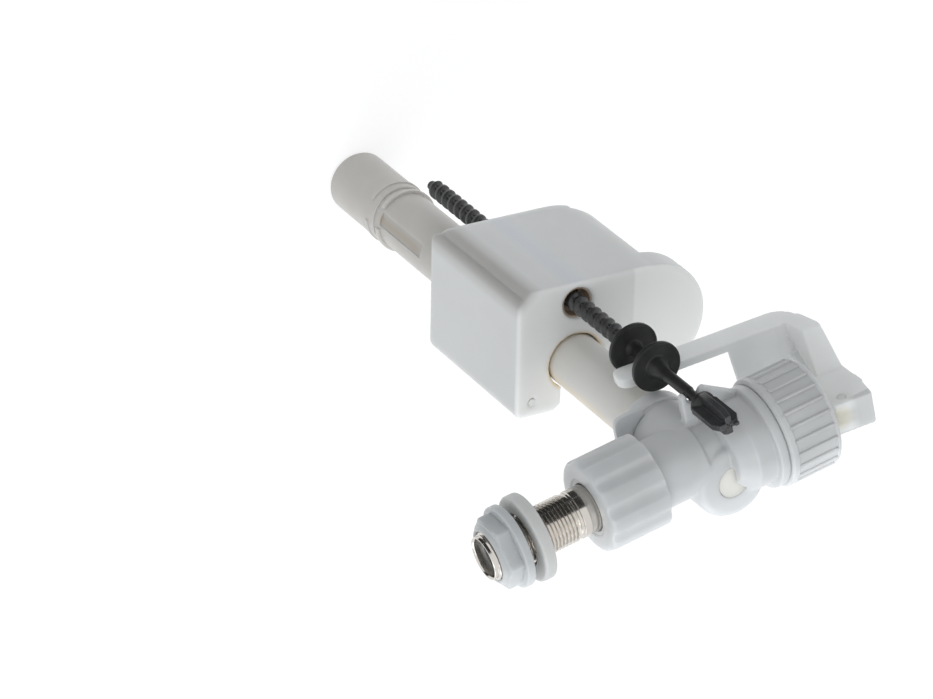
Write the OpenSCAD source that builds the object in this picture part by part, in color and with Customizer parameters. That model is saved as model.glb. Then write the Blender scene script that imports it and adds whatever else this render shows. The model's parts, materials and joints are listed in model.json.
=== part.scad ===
// Side entry fill valve for a cistern, millimetres.
// The X axis is the inlet's axis and starts where the cistern's wall grips the shank.
// +X runs into the cistern, +Y points to the float's spindle and +Z is up in use.

/* [Inlet shank] */
// Outside diameter of the threaded shank (G 3/8)
shank_d = 16.66; // [15:0.01:20]
// Length of shank standing out of the coupling nut
shank_l = 39; // [38:0.5:44]
// Length of shank outside the cistern's wall
nose_l = 34; // [31:0.5:36]
// Bore through the shank
shank_bore_d = 13.2; // [8:0.1:13.6]
// Diameter of the shoulder that the coupling nut pulls on
shoulder_d = 23; // [20:0.1:23.4]
// Thickness of the shoulder
shoulder_t = 3; // [2:0.1:4]
// Length of the strainer inside the shank
strainer_l = 30; // [20:1:36]
// Slots round the strainer
strainer_slots = 8; // [4:1:10]

/* [Wall nut and washer] */
// Distance from the free end of the shank to the nut
nut_x = 1.9; // [1:0.1:4]
// Thickness of the nut's flange
nut_flange_t = 3; // [1.5:0.1:4]
// Diameter of the nut's flange
nut_flange_d = 28.4; // [26:0.1:34]
// Across-flats size of the nut
nut_af = 22; // [20:0.5:24]
// Height of the hexagon
nut_h = 6.4; // [4:0.1:9]
// Outside diameter of the sealing washer
washer_d = 30; // [26:0.5:36]
// Thickness of the sealing washer
washer_t = 6; // [3:0.1:8]
// Clearance of the washer's bore round the shank
washer_slack = 0.9; // [0.3:0.1:1.2]
// Gap between the nut and the loose washer
washer_gap = 1.6; // [0.4:0.1:2.4]

/* [Coupling nut] */
// Outside diameter over the grip pads
coupling_d = 32.4; // [30:0.1:40]
// Length of the coupling nut
coupling_l = 22.5; // [20:0.5:26]
// Radius of the nut's rounded front edge
coupling_nose = 3.5; // [1:0.1:3.5]
// Grip lobes round the nut
coupling_lobes = 10; // [6:1:14]
// Depth of the scallops between the lobes
coupling_step = 0.9; // [0.4:0.1:1.6]
// Thickness of the nut's end wall
coupling_wall = 4.5; // [3:0.1:6]
// Thickness of the flat gasket behind the shoulder
gasket_t = 2; // [1:0.1:3]

/* [Valve body] */
// Distance from the cistern's wall to the down tube's axis
tube_x = 45; // [44:0.5:50]
// Outside diameter of the inlet collar
collar_d = 24; // [22:0.1:24.4]
// Reach of the inlet collar past the down tube's axis
collar_over = 0.3; // [0:0.1:2]
// Diameter of the neck between the collar and the head
neck_d = 22; // [21.6:0.1:23]
// Outside diameter of the inlet chamber beside the neck
chamber_d = 26.4; // [25:0.1:28]
// Distance of the chamber's axis past the down tube's axis
chamber_dx = 7.5; // [6.5:0.1:8.5]
// Distance of the chamber's axis beside the down tube's axis
chamber_dy = 7.8; // [6.8:0.1:8.4]
// Height of the chamber's top above the inlet axis
chamber_top = 12; // [11.4:0.1:14]
// Depth of the chamber's underside below the inlet axis
chamber_floor = 10; // [9.4:0.1:10.4]
// Wall of the chamber
chamber_wall = 1.8; // [1.2:0.1:2]
// Outside diameter of the tube socket
socket_d = 25.2; // [24.4:0.1:25.6]
// Depth of the tube socket below the inlet axis
socket_bottom = 25; // [24:0.5:30]
// Height of the head's axis above the inlet axis
head_rise = 5.5; // [3:0.1:6]
// Diameter of the head behind the knurled ring
head_d = 31; // [29:0.1:32]
// Bore of the head, where the piston runs
head_bore_d = 26.8; // [25:0.1:27]
// Bore of the seat nozzle
seat_d = 6.8; // [5:0.1:7]
// Diameter of the vent cap in the chamber's top
vent_d = 11; // [8:0.1:13]

/* [Spindle guide] */
// Clear distance of the spindle's discs from the tube socket
disc_side = 0.4; // [0.3:0.1:1.4]
// Thickness of the guide plate
guide_t = 3; // [2:0.1:4]
// Width of the guide's slot
guide_slot = 4.6; // [4.5:0.1:5]

/* [Head ring] */
// Outside diameter over the flutes
ring_d = 38.6; // [37.8:0.1:42]
// Length of the ring
ring_l = 19; // [17:0.5:22]
// Flutes round the ring
ring_flutes = 24; // [16:1:30]
// Opening in the ring's outer end
ring_opening_d = 25.6; // [24:0.1:27]

/* [Lever] */
// Distance from the tube's axis to the lever's pivot
pivot_dx = 50.4; // [49:0.1:52]
// Height of the pivot above the inlet axis
pivot_z = 13.5; // [12:0.1:15]
// Diameter of the pivot pin
pivot_d = 3; // [2:0.1:4]
// Angle the lever hangs down by when the cistern is empty
lever_droop = 8.8; // [4:0.1:9.5]
// Thickness of the lever's strap
strap_t = 3.4; // [2:0.1:3.8]
// Height of the lever's strap
strap_h = 9; // [6:0.1:9.2]
// Reach of the strap past the pivot towards the spindle
strap_reach = 63; // [58:0.5:66]
// Drop of the strap's middle below the pivot
strap_drop = 37; // [36.5:0.1:37.5]
// Thickness of the lever's web
web_t = 1.8; // [1:0.1:3]
// Width of the lever's end block
block_w = 11.6; // [9:0.1:12.4]
// Width of the cover's tongue that carries the pin
tongue_w = 4.6; // [3:0.1:5]
// Clearance of the lever's slot beside the tongue
tongue_gap = 0.35; // [0.3:0.05:0.6]

/* [Down tube] */
// Outside diameter of the upper tube
tube_d = 19.2; // [17:0.1:19.6]
// Wall of the tubes
tube_wall = 1.3; // [1:0.1:2]
// Outside diameter of the lower tube
lower_d = 21.6; // [20.8:0.1:22]
// Height of the lower tube's top, below the inlet axis
lower_top = 112; // [105:1:125]
// Depth of the tube's end below the inlet axis
tube_end = 233; // [200:1:250]
// Outside diameter of the end sleeve
sleeve_d = 23; // [22.4:0.1:25]
// Length of the end sleeve
sleeve_l = 33; // [24:1:40]

/* [Float] */
// Turn of the float and its spindle about the tube
float_turn = -13.2; // [-16:0.1:-10]
// Depth of the float's top below the inlet axis
float_top = 74.8; // [72:0.1:80]
// Height of the float
float_h = 62; // [50:1:70]
// Distance from the tube's axis to the float's near side
float_left = 22.8; // [20:0.1:26]
// Distance from the tube's axis to the float's far side
float_right = 36; // [34:0.1:42]
// Wall of the float outside the threaded insert
float_cheek = 2.1; // [1.6:0.1:4]
// Distance from the tube's axis to the float's notched side
float_back = 17.5; // [16:0.1:20]
// Wall of the float
float_wall = 1.5; // [1:0.1:2.2]
// Radius of the float's bulge
bulge_r = 21; // [19:0.1:22]
// Height of the float's bulge
bulge_h = 13; // [8:0.5:20]
// Distance from the tube's axis to the bulge's middle, along the spindle's side
bulge_dx = 29.5; // [28:0.1:31]
// Distance from the tube's axis to the bulge's middle, towards the spindle
bulge_dy = 8; // [7:0.1:9]
// Radius of the lower edge on the spindle side
edge_r = 8; // [5:0.5:10]
// Width of the notch's mouth
notch_w = 10.6; // [8:0.1:14]
// Clearance between the lower tube and the float
tube_gap = 0.5; // [0.3:0.1:1.2]
// Outside diameter of the threaded insert
insert_d = 11; // [9.6:0.1:12]

/* [Spindle] */
// Diameter over the spindle's thread
crest_d = 6.56; // [6:0.01:7]
// Diameter of the thread's core
core_d = 4.4; // [4:0.1:5]
// Pitch of the spindle's thread
spindle_pitch = 4.4; // [3.5:0.1:6]
// Depth of the spindle's lower end below the inlet axis
spindle_end = 178; // [165:1:190]
// Diameter of the smooth shaft above the discs
shaft_d = 4.2; // [3.6:0.1:4.3]
// Diameter of the two discs
disc_d = 17.8; // [15:0.1:20]
// Thickness of each disc
disc_t = 1.5; // [1:0.1:1.8]
// Depth of the upper disc's top below the inlet axis
disc_top = 23.3; // [23:0.1:23.6]
// Clear gap between the two discs
disc_gap = 13.2; // [13:0.1:15]
// Width over the fins of the spindle's head
fin_w = 9.6; // [8:0.1:11]
// Thickness of the head's fins
fin_t = 2.2; // [1.4:0.1:3]
// Height of the head's top above the inlet axis
head_top = 21.4; // [18:0.1:24]

/* [Hidden] */
$fn = 64;
eps = 0.02;
// Radial clearance of parts that slide or turn on each other
run_fit = 0.08;
// Radial clearance of parts pushed together by hand
seat_fit = 0.05;

shank_r = shank_d / 2;
shank_bore_r = shank_bore_d / 2;
collar_r = collar_d / 2;
chamber_r = chamber_d / 2;
tube_r = tube_d / 2;
neck_r = neck_d / 2;
socket_r = socket_d / 2;
seat_r = seat_d / 2;
disc_r = disc_d / 2;
lower_r = lower_d / 2;
ring_r = ring_d / 2;
coupling_r = coupling_d / 2;
shank_x = -nose_l;
coupling_x = shank_x + shank_l;
shoulder_x = coupling_x + coupling_wall;
gasket_x = shoulder_x + shoulder_t;
collar_x = gasket_x + gasket_t;
restrictor_t = 2.5;
collar_end = tube_x + collar_over;
flare_x = tube_x + 8;
flare_l = 5.6;
// Bore of the outlet column and the wall kept round it and round the nozzle
outlet_r = 4.2;
outlet_wall = 1.4;
// Room over the end of the down tube inside its socket
tube_stop = 11;
spindle_reach = socket_r + disc_side + disc_r;
float_front = spindle_reach + insert_d / 2 + float_cheek;
spindle_dx = -spindle_reach * sin(float_turn);
spindle_x = tube_x + spindle_dx;
spindle_y = spindle_reach * cos(float_turn);
seat_x = tube_x + 19;
seat_lift = 1.2;
head_bore_r = head_bore_d / 2;
head_bore_x = tube_x + 15;
flange_x = tube_x + 20;
flange_t = 3.5;
flange_r = head_d / 2 + 2.3;
spigot_r = ring_r - 2.7;
ring_x = flange_x + flange_t;
ring_wall = 3.7;
cover_t = 3.6;
spigot_end = ring_x + ring_l - ring_wall - cover_t;
cover_x = spigot_end;
boss_x = cover_x + cover_t;
nozzle_tip = boss_x + 5.4;
piston_t = 3.3;
// Stem of the piston, which the cover guides, and the lip seal's groove
stem_r = 4.2;
stem_l = 3.4;
lip_depth = 2.4;
// Groove of the cover's seal, inwards from the head's bore
groove_from = 1.2;
groove_to = 3.6;
pivot_x = tube_x + pivot_dx;
pad_drop = pivot_z - head_rise;
pad_face = nozzle_tip + 0.05 - pivot_x;
pad_t = 2;
pad_r = 3.4;
// Outline of the lever's end block, measured from the pivot
block_x0 = pad_face + 1.2;
block_x1 = 9.9;
block_top = 4.1;
block_foot = 20;
// Radius of the tongue's round end and the slot's room over and under it
tongue_r = 2.4;
slot_over = 1;
slot_under = 0.5;
strap_y1 = spindle_y - shaft_d / 2 - 1;
strap_y0 = strap_y1 - strap_t;
hex_r = nut_af / 2 / cos(30);
washer_x = shank_x + nut_x + nut_h + nut_flange_t + washer_gap;
guide_top = spindle_y + 1.4;
notch_r = lower_r + tube_gap;
plug_x = -16.7;
plug_y = -11.9;
plug_r = 1.4;
insert_r = insert_d / 2;
insert_l = 16;
crest_r = crest_d / 2;
// Undersides of the spindle's two discs
upper_disc_z = -disc_top - disc_t;
lower_disc_z = upper_disc_z - disc_gap - disc_t;
thread_top = 5 - lower_disc_z;
// Overlap of the two tubes and the place of the seal in the socket
tube_overlap = 14;
tube_seal_z = 17;
clip_z = socket_bottom - 8;
clip_t = 1.8;
groove_d = 1.4;
vent_t = 3.2;

// rounded rectangle with its own radius at each corner: bottom left, bottom right,
// top right, top left
module rounded(x0, y0, x1, y1, r) {
    difference() {
        translate([x0, y0]) square([x1 - x0, y1 - y0]);
        if (r[0] > 0) translate([x0, y0]) corner(r[0], 0);
        if (r[1] > 0) translate([x1, y0]) corner(r[1], 90);
        if (r[2] > 0) translate([x1, y1]) corner(r[2], 180);
        if (r[3] > 0) translate([x0, y1]) corner(r[3], 270);
    }
}

// the piece that a round corner takes away
module corner(r, turn) {
    rotate(turn) difference() {
        translate([-1, -1]) square(r + 1);
        translate([r, r]) circle(r);
    }
}

module along_x(x, z = 0) {
    translate([x, 0, z]) rotate([0, 90, 0]) children();
}

module tube(r, bore, l) {
    difference() {
        cylinder(r = r, h = l);
        translate([0, 0, -1]) cylinder(r = bore, h = l + 2);
    }
}

// frame of the float: origin on the tube's axis, +Y to the spindle
module float_frame() {
    translate([tube_x, 0, 0]) rotate([0, 0, float_turn]) children();
}

module shank() {
    shank_end = gasket_x - shank_x;
    color("silver") along_x(shank_x) rotate_extrude()
        polygon([[shank_bore_r + 0.6, 0], [shank_r - 0.5, 0], [shank_r, 0.5],
            [shank_r, shank_end - shoulder_t], [shoulder_d / 2, shank_end - shoulder_t],
            [shoulder_d / 2, shank_end], [shank_bore_r, shank_end], [shank_bore_r, 0.6]]);
}

module strainer() {
    r = shank_bore_r - seat_fit;
    color("dimgray") along_x(shank_x + 3) difference() {
        union() {
            cylinder(r = r, h = 2);
            cylinder(r = r - 1.1, h = strainer_l);
        }
        translate([0, 0, -1]) cylinder(r = r - 2, h = strainer_l - 0.6);
        for (i = [0 : strainer_slots - 1]) rotate(i * 360 / strainer_slots)
            translate([r - 2.6, -0.7, 5]) cube([3, 1.4, strainer_l - 9]);
        translate([0, 0, strainer_l - 3]) cylinder(r = r - 4, h = 6);
    }
}

module wall_nut() {
    front_t = 1.2;
    color("white") along_x(shank_x + nut_x) difference() {
        union() {
            cylinder(r1 = nut_af / 2 - 1.6, r2 = nut_af / 2 - 0.5, h = front_t + eps);
            intersection() {
                translate([0, 0, front_t]) cylinder(r = hex_r, h = nut_h - front_t, $fn = 6);
                cylinder(r1 = nut_af / 2 - 0.8, r2 = nut_af / 2 + 4, h = nut_h);
            }
            translate([0, 0, nut_h - eps]) cylinder(r = nut_flange_d / 2, h = nut_flange_t);
        }
        translate([0, 0, -1]) cylinder(r = shank_r + run_fit, h = nut_h + nut_flange_t + 2);
    }
}

module sealing_washer() {
    color("whitesmoke") along_x(washer_x) rotate_extrude()
        rounded(shank_r + washer_slack, 0, washer_d / 2, washer_t, [0, 0.8, 0.8, 0]);
}

module coupling_nut() {
    scallop_r = 4;
    color("white") along_x(coupling_x) difference() {
        intersection() {
            rotate_extrude() rounded(0, 0, coupling_r, coupling_l, [0, coupling_nose, 0.4, 0]);
            linear_extrude(coupling_l) difference() {
                circle(coupling_r + 1);
                for (i = [0 : coupling_lobes - 1]) rotate((i + 0.5) * 360 / coupling_lobes)
                    translate([coupling_r + scallop_r - coupling_step, 0]) circle(scallop_r);
            }
        }
        translate([0, 0, -1]) cylinder(r = shank_r + 0.3, h = coupling_l);
        translate([0, 0, coupling_wall]) cylinder(r = collar_r + seat_fit, h = coupling_l);
        // shallow recess round the shank
        translate([0, 0, -1]) cylinder(r = shank_r + 1.6, h = 2);
    }
}

module coupling_gasket() {
    color("dimgray") along_x(gasket_x) tube(shoulder_d / 2, shank_bore_r, gasket_t);
}

module flow_restrictor() {
    color("seagreen") along_x(collar_x) difference() {
        cylinder(r = shank_bore_r - seat_fit, h = restrictor_t);
        for (i = [0 : 4]) rotate(i * 72) translate([3.4, 0, -1])
            cylinder(r = 1.2, h = restrictor_t + 2);
    }
}

module guide_plate() {
    half = guide_slot / 2;
    x1 = flange_x - tube_x - 0.6;
    translate([tube_x, 0, -guide_t - 0.5]) linear_extrude(guide_t) difference() {
        union() {
            translate([spindle_dx - half - 2.2, 4]) square([2.2, guide_top - 5.1]);
            translate([spindle_dx - half - 1.1, guide_top - 1.1]) circle(1.1);
            translate([spindle_dx - half - 2.2, 4])
                square([2.2 + guide_slot, spindle_y - half - 5 + half]);
            polygon([[spindle_dx + half, 4], [spindle_dx + half, guide_top - 1.6],
                [spindle_dx + half + 1, guide_top - 0.3], [spindle_dx + half + 2.4, guide_top],
                [x1, guide_top - 6.6], [x1, 4]]);
        }
        translate([spindle_dx, spindle_y]) circle(half);
        translate([spindle_dx - half, spindle_y]) square([guide_slot, 4]);
    }
}

module body_outside() {
    along_x(collar_x) cylinder(r = collar_r, h = collar_end - collar_x);
    along_x(collar_x) cylinder(r = neck_r, h = flare_x + flare_l - collar_x);
    translate([tube_x, 0, -socket_bottom]) rotate_extrude()
        rounded(0, 0, socket_r, socket_bottom, [0, 0.6, 0, 0]);
    translate([tube_x + chamber_dx, -chamber_dy, -chamber_floor]) rotate_extrude()
        rounded(0, 0, chamber_r, chamber_floor + chamber_top, [0, 1.2, 3, 0]);
    along_x(flare_x, head_rise) cylinder(r1 = neck_r, r2 = head_d / 2, h = flare_l + eps);
    along_x(flare_x + flare_l, head_rise)
        cylinder(r = head_d / 2, h = flange_x - flare_x - flare_l + eps);
    along_x(flange_x, head_rise) cylinder(r = flange_r, h = flange_t);
    along_x(flange_x, head_rise) cylinder(r = spigot_r, h = spigot_end - flange_x);
    guide_plate();
}

module body_inside() {
    roof = 4.2;
    cone_h = 2.4;
    difference() {
        union() {
            along_x(collar_x - 1) cylinder(r = shank_bore_r, h = tube_x - collar_x + 1);
            translate([tube_x + chamber_dx, -chamber_dy, -chamber_floor + chamber_wall])
                cylinder(r = chamber_r - chamber_wall,
                    h = chamber_floor + chamber_top - chamber_wall - roof);
            along_x(head_bore_x, head_rise)
                cylinder(r = head_bore_r, h = spigot_end - head_bore_x + 1);
        }
        // the outlet column and the seat nozzle stand in the chamber
        translate([tube_x, 0, -tube_stop])
            cylinder(r = outlet_r + outlet_wall, h = tube_stop + head_rise + seat_r + outlet_wall);
        along_x(tube_x, head_rise) cylinder(r = seat_r + outlet_wall, h = seat_x - tube_x - 1);
        along_x(head_bore_x - 1, head_rise)
            cylinder(r1 = seat_r + 2.4, r2 = seat_r + 0.7, h = seat_x - head_bore_x + 1);
    }
    along_x(tube_x, head_rise) cylinder(r = seat_r, h = seat_x - tube_x + 1);
    translate([tube_x, 0, -tube_stop]) cylinder(r = outlet_r, h = tube_stop + head_rise);
    translate([tube_x, 0, -tube_stop - eps])
        cylinder(r1 = tube_r - tube_wall, r2 = outlet_r, h = cone_h);
    translate([tube_x, 0, -socket_bottom - 1])
        cylinder(r = tube_r + seat_fit, h = socket_bottom + 1 - tube_stop);
    translate([tube_x + chamber_dx, -chamber_dy, chamber_top - vent_t - 0.2])
        cylinder(r = vent_d / 2 + seat_fit, h = vent_t + 1);
    translate([tube_x, 0, -clip_z - clip_t - 0.1])
        tube(socket_r + 1, socket_r - groove_d, clip_t + 0.2);
}

module valve_body() {
    color("white") difference() {
        body_outside();
        body_inside();
    }
}

module vent_cap() {
    color("ivory") translate([tube_x + chamber_dx, -chamber_dy, chamber_top - vent_t - 0.2])
        cylinder(r = vent_d / 2, h = vent_t);
}

module servo_piston() {
    x0 = seat_x + seat_lift + 2;
    color("gainsboro") difference() {
        union() {
            along_x(x0, head_rise) cylinder(r = head_bore_r - 0.6, h = piston_t);
            along_x(x0 - eps, head_rise) cylinder(r = stem_r, h = piston_t + stem_l);
        }
        along_x(x0 + piston_t - 1.9, head_rise) tube(head_bore_r, head_bore_r - lip_depth, 1.4);
    }
}

module seat_washer() {
    color("dimgray") along_x(seat_x + seat_lift, head_rise)
        cylinder(r = seat_r + 1.6, h = 2 - eps);
}

module lip_seal() {
    x0 = seat_x + seat_lift + 2;
    color("dimgray") along_x(x0 + piston_t - 1.85, head_rise)
        tube(head_bore_r - run_fit, head_bore_r - lip_depth + seat_fit, 1.3);
}

module pilot_cover() {
    boss_r = ring_opening_d / 2 - 0.3;
    jet_r = 0.5;
    color("ivory") difference() {
        union() {
            along_x(cover_x, head_rise) cylinder(r = spigot_r - 0.1, h = cover_t);
            along_x(boss_x - eps, head_rise) cylinder(r = boss_r, h = ring_wall + 0.5);
            along_x(boss_x, head_rise) cylinder(r1 = 3.4, r2 = 1.7, h = nozzle_tip - boss_x);
            translate([pivot_x, 0, pivot_z]) rotate([90, 0, 0])
                cylinder(r = tongue_r, h = tongue_w, center = true);
            translate([boss_x + 1, -tongue_w / 2, pivot_z - tongue_r])
                cube([pivot_x - boss_x - 1, tongue_w, 2 * tongue_r]);
        }
        along_x(cover_x - 1, head_rise) cylinder(r = jet_r, h = 20);
        along_x(cover_x - 1, head_rise) cylinder(r = stem_r + run_fit, h = stem_l);
        along_x(cover_x - 1, head_rise)
            tube(head_bore_r - groove_from, head_bore_r - groove_to, 2.2);
        translate([pivot_x, 0, pivot_z]) rotate([90, 0, 0])
            cylinder(r = pivot_d / 2 + seat_fit, h = tongue_w + 2, center = true);
    }
}

module cover_seal() {
    color("dimgray") along_x(cover_x + 0.05, head_rise)
        tube(head_bore_r - groove_from - seat_fit, head_bore_r - groove_to + seat_fit, 1.1);
}

module head_ring() {
    color("white") along_x(ring_x + 0.2, head_rise) difference() {
        rotate_extrude() polygon([[spigot_r + seat_fit, 0], [ring_r - 0.5, 0], [ring_r, 0.6],
            [ring_r, ring_l - 1.2], [ring_r - 1, ring_l - 0.2],
            [ring_opening_d / 2, ring_l - 0.2], [ring_opening_d / 2, ring_l - ring_wall],
            [spigot_r + seat_fit, ring_l - ring_wall]]);
        for (i = [0 : ring_flutes - 1]) rotate(i * 360 / ring_flutes)
            translate([ring_r + 1.2, 0, 2.6]) cylinder(r = 1.9, h = ring_l);
    }
}

// level lever, origin on the pivot
module lever_level() {
    z0 = -strap_drop - strap_h / 2;
    z1 = -strap_drop + strap_h / 2;
    difference() {
        union() {
            translate([0, strap_y1, 0]) rotate([90, 0, 0]) linear_extrude(strap_t)
                rounded(-strap_reach, z0, 2, z1, [3, 1.6, 0, 4]);
            // web in the corner
            translate([0, 0, z1 - web_t]) linear_extrude(web_t)
                polygon([[-24.8, strap_y0 + 1], [-22.6, -4], [-6, -5.8], [1, -5.8],
                    [3, 4], [0, strap_y0 + 1]]);
            // arm that sweeps from the strap's raised end to the block
            hull() {
                translate([0, strap_y1, 0]) rotate([90, 0, 0]) linear_extrude(strap_t)
                    polygon([[-4, z1 - 1], [0, z0 + 1.2], [1.4, z0 + 4], [5.5, -27],
                        [5.5, -24.6], [-1, -24.6]]);
                translate([-2, 4, -block_foot]) cube([9.4, 2, 5]);
            }
            hull() {
                translate([-4, -block_w / 2, z1 - web_t]) cube([5, block_w, web_t]);
                translate([-2, -block_w / 2, -block_foot]) cube([9.4, block_w, 5]);
            }
            // end block with its step
            translate([0, block_w / 2, 0]) rotate([90, 0, 0]) linear_extrude(block_w)
                polygon([[block_x0, -12], [-2.2, -14.7], [-2, -block_foot], [7.4, -block_foot],
                    [7.8, -15], [block_x1, -5.1], [block_x1 - 0.5, -4],
                    [block_x1 - 0.5, block_top - 0.8], [block_x1 - 1.3, block_top],
                    [block_x0 + 1, block_top], [block_x0, block_top - 1]]);
        }
        rotate([90, 0, 0]) cylinder(r = pivot_d / 2 + run_fit, h = block_w + 2, center = true);
        along_x(pad_face - 1, -pad_drop) cylinder(r = pad_r + seat_fit, h = pad_t + 1 + eps);
        // slot for the cover's tongue, with room for the swing
        translate([block_x0 - 1, -tongue_w / 2 - tongue_gap, -tongue_r - slot_under])
            cube([tongue_r + 0.7 - block_x0 + 1, tongue_w + 2 * tongue_gap,
                2 * tongue_r + slot_over + slot_under]);
    }
}

module lever_frame() {
    translate([pivot_x, 0, pivot_z]) rotate([0, -lever_droop, 0]) children();
}

module lever() {
    color("white") lever_frame() lever_level();
}

module lever_pin() {
    color("silver") translate([pivot_x, 0, pivot_z]) rotate([90, 0, 0])
        cylinder(r = pivot_d / 2, h = block_w - 0.4, center = true);
}

module pilot_pad() {
    color("dimgray") lever_frame() along_x(pad_face, -pad_drop) cylinder(r = pad_r, h = pad_t);
}

module upper_tube() {
    low = lower_top + tube_overlap;
    color("seashell") translate([tube_x, 0, -low]) difference() {
        cylinder(r = tube_r, h = low - tube_stop - 0.4);
        translate([0, 0, -1]) cylinder(r = tube_r - tube_wall, h = low + 2);
        translate([0, 0, low - tube_seal_z]) tube(tube_r + 1, tube_r - 0.7, 2);
    }
}

module tube_seal() {
    color("dimgray") translate([tube_x, 0, seat_fit - tube_seal_z])
        tube(tube_r, tube_r - 0.68, 1.9);
}

module tube_clip() {
    r = socket_r - groove_d + seat_fit;
    half = socket_r + 1.2;
    color("white") translate([tube_x, 0, -clip_z - clip_t]) linear_extrude(clip_t)
        difference() {
            union() {
                rounded(-17, -half, -6, half, [3, 1, 1, 3]);
                intersection() {
                    circle(socket_r - 0.5);
                    translate([-7, -socket_r]) square([13, 2 * socket_r]);
                }
            }
            circle(r);
            translate([0, -r]) square([8, 2 * r]);
        }
}

module lower_tube() {
    strip_w = 5;
    strip_d = 0.7;
    strip_l = 30;
    color("seashell") translate([tube_x, 0, -tube_end]) difference() {
        union() {
            cylinder(r = lower_r, h = tube_end - lower_top);
            rotate_extrude() rounded(lower_r - 0.5, 0, sleeve_d / 2, sleeve_l, [0, 1.2, 0.4, 0]);
            // two open ridges over the sleeve's lip
            for (z = [sleeve_l - 5, sleeve_l + 3]) translate([0, 0, z]) difference() {
                tube(sleeve_d / 2 + 0.4, lower_r - 0.5, 1.4);
                rotate(150) translate([0, -4, -1]) cube([20, 8, 4]);
            }
        }
        translate([0, 0, 3]) cylinder(r = tube_r + seat_fit, h = tube_end);
        translate([0, 0, -1]) cylinder(r = tube_r - tube_wall, h = 5);
        // recessed strip on the lower left side
        rotate(150) translate([lower_r - strip_d, -strip_w / 2, sleeve_l + 4])
            cube([3, strip_w, strip_l]);
    }
}

module float_solid(inset) {
    intersection() {
        translate([0, 0, -float_top - float_h + inset]) linear_extrude(float_h - 2 * inset)
            rounded(-float_left + inset, -float_back + inset, float_right - inset,
                float_front - inset, [3, 9, 10, 2.2] - inset * [0.8, 0.8, 0.8, 0.8]);
        translate([-float_left - 1, 0, 0]) rotate([90, 0, 90])
            linear_extrude(float_left + float_right + 2)
            rounded(-float_back + inset, -float_top - float_h + inset, float_front - inset,
                -float_top - inset, [2.5, edge_r, 1.6, 1.6] - inset * [0.8, 0.8, 0.8, 0.8]);
    }
    translate([bulge_dx, bulge_dy, -float_top - bulge_h + inset]) rotate_extrude()
        rounded(0, 0, bulge_r - inset, bulge_h - 2 * inset,
            [0, 1.6, 1.6, 0] - inset * [0, 0.8, 0.8, 0]);
}

module float_shell() {
    color("white") float_frame() difference() {
        float_solid(0);
        difference() {
            float_solid(float_wall);
            // walls round the tube's notch, the spindle and the inner rib
            translate([0, 0, -float_top - float_h - 1]) cylinder(r = notch_r + float_wall, h = float_h + 2);
            translate([-notch_w / 2 - float_wall, -float_back - 1, -float_top - float_h - 1])
                cube([notch_w + 2 * float_wall, float_back, float_h + 2]);
            translate([0, spindle_reach, -float_top - float_h - 1])
                cylinder(r = insert_r + float_wall, h = float_h + 2);
            translate([-float_wall / 2, spindle_reach, -float_top - float_h - 1])
                cube([float_wall, 20, float_h + 2]);
        }
        translate([0, 0, -float_top - float_h - 1]) cylinder(r = notch_r, h = float_h + 2);
        translate([-notch_w / 2, -float_back - 1, -float_top - float_h - 1])
            cube([notch_w, float_back, float_h + 2]);
        translate([0, spindle_reach, -float_top - float_h - 1])
            cylinder(r = crest_r + 0.9, h = float_h + 2);
        translate([0, spindle_reach, -float_top - insert_l])
            cylinder(r = insert_r + seat_fit, h = insert_l + 1);
        translate([plug_x, plug_y, -float_top - float_wall - 1])
            cylinder(r = plug_r, h = float_wall + 2);
    }
}

module float_insert() {
    color("tan") float_frame() translate([0, spindle_reach, -float_top - insert_l + 0.1])
        tube(insert_r, crest_r + run_fit, insert_l - 0.9);
}

module float_plug() {
    color("white") float_frame() translate([plug_x, plug_y, -float_top - float_wall])
        cylinder(r = plug_r - seat_fit, h = float_wall - 0.2);
}

module spindle() {
    thread_l = spindle_end - 3 - thread_top;
    turns = thread_l / spindle_pitch;
    offset_r = (crest_r - core_d / 2) / 2;
    color("dimgray") translate([spindle_x, spindle_y, 0]) {
        // rope thread: an off-centre round swept along its helix
        translate([0, 0, -thread_top - thread_l])
            linear_extrude(thread_l, twist = -360 * turns, slices = ceil(turns * 8), $fn = 10)
                translate([offset_r, 0]) circle((crest_r + core_d / 2) / 2);
        rotate_extrude() polygon([[0, -spindle_end], [1.2, -spindle_end],
            [1.7, -spindle_end + 0.5], [1.7, -spindle_end + 3.2], [core_d / 2 - 0.3, -spindle_end + 3.6],
            [core_d / 2 - 0.3, -thread_top - 1], [core_d / 2 + 0.5, -thread_top],
            [core_d / 2 + 0.5, lower_disc_z], [disc_r, lower_disc_z],
            [disc_r, lower_disc_z + disc_t], [core_d / 2, lower_disc_z + disc_t],
            [shaft_d / 2, upper_disc_z], [disc_r, upper_disc_z],
            [disc_r, -disc_top], [4, -disc_top],
            [shaft_d / 2 + 0.2, -disc_top + 4.4], [shaft_d / 2, -disc_top + 5],
            [shaft_d / 2, -3.6], [1.75, -2.8], [1.75, 2.8], [3, 3.6], [4, 5], [3.4, 6.4],
            [2, 7], [2, head_top - 1], [0, head_top - 1]]);
        intersection() {
            translate([0, 0, 4.6]) union() {
                translate([-fin_w / 2, -fin_t / 2, 0]) cube([fin_w, fin_t, head_top - 4.6]);
                translate([-fin_t / 2, -fin_w / 2, 0]) cube([fin_t, fin_w, head_top - 4.6]);
            }
            rotate_extrude() polygon([[0, 4.6], [fin_w / 2 - 1, 4.6], [fin_w / 2, 6],
                [fin_w / 2, head_top - 3], [fin_w / 2 - 1.6, head_top], [0, head_top]]);
        }
        translate([1.6, -0.6, head_top - 1]) cube([1.6, 1.2, 2.2]);
    }
}

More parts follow.
